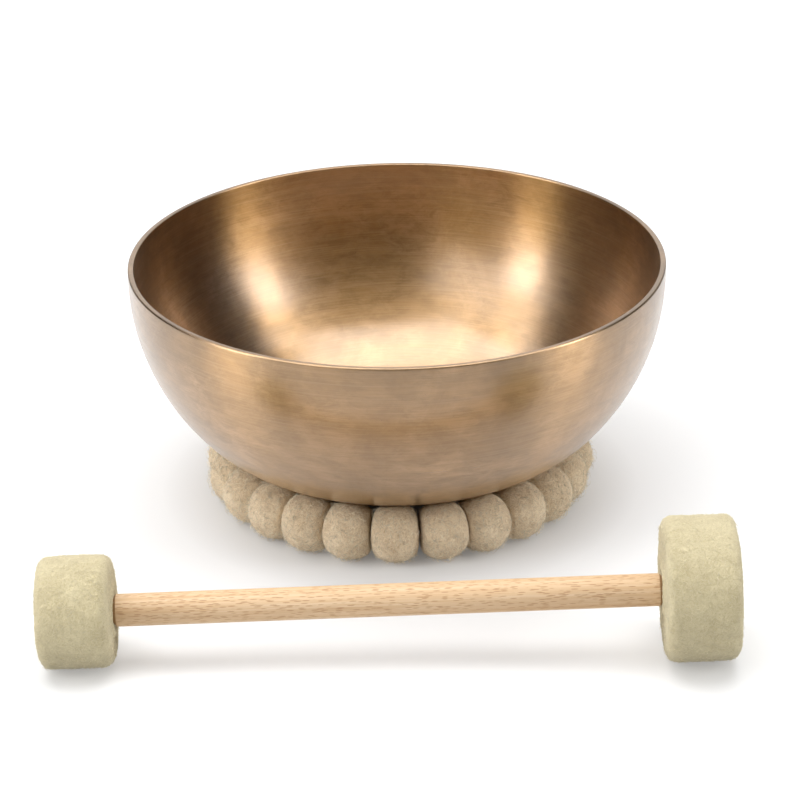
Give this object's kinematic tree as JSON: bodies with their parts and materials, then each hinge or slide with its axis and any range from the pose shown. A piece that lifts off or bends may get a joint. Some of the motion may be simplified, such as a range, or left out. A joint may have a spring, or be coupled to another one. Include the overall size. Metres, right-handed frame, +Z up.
{
  "type": "singing bowl",
  "caption": "Round bronze bowl on a ring of strung felt balls, with a felt-headed mallet lying in front of it, struck or rubbed to sound a long tone.",
  "frame": {"origin": "middle of the underside of the whole set, on the surface that it stands on", "axes": "+Z up out of the bowl's mouth, +Y from the mallet towards the bowl, +X along the mallet towards its larger head"},
  "size_m": [0.286, 0.3105, 0.1118],
  "materials": {
    "bowl_bronze": "brushed bronze, fine scratches round the bowl, light brown patina",
    "ring_felt": "oatmeal wool felt with a short curled pile",
    "ring_cord": "twisted natural cord",
    "mallet_beech": "plain sanded beech with short dark flecks",
    "mallet_felt": "dense pressed cream wool felt"
  },
  "bodies": {
    "felt_ring": {"felt_ball_01": "ring_felt", "felt_ball_02": "ring_felt", "felt_ball_03": "ring_felt", "felt_ball_04": "ring_felt", "felt_ball_05": "ring_felt", "felt_ball_06": "ring_felt", "felt_ball_07": "ring_felt", "felt_ball_08": "ring_felt", "felt_ball_09": "ring_felt", "felt_ball_10": "ring_felt", "felt_ball_11": "ring_felt", "felt_ball_12": "ring_felt", "felt_ball_13": "ring_felt", "felt_ball_14": "ring_felt", "felt_ball_15": "ring_felt", "felt_ball_16": "ring_felt", "felt_ball_17": "ring_felt", "felt_ball_18": "ring_felt", "felt_ball_19": "ring_felt", "felt_ball_20": "ring_felt", "felt_ball_21": "ring_felt", "felt_ball_22": "ring_felt", "felt_ball_23": "ring_felt", "felt_ball_24": "ring_felt", "ring_cord": "ring_cord"},
    "bowl": {"bowl": "bowl_bronze"},
    "mallet": {"mallet_stick": "mallet_beech", "small_felt_head": "mallet_felt", "large_felt_head": "mallet_felt"}
  },
  "joints": [
    {"name": "bowl_lift", "type": "slide", "parent": "felt_ring", "child": "bowl", "axis": [0, 0, 1], "range_m": [0, 0.15]},
    {"name": "mallet_lift", "type": "slide", "parent": "felt_ring", "child": "mallet", "axis": [0, 0, 1], "range_m": [0, 0.15]}
  ]
}
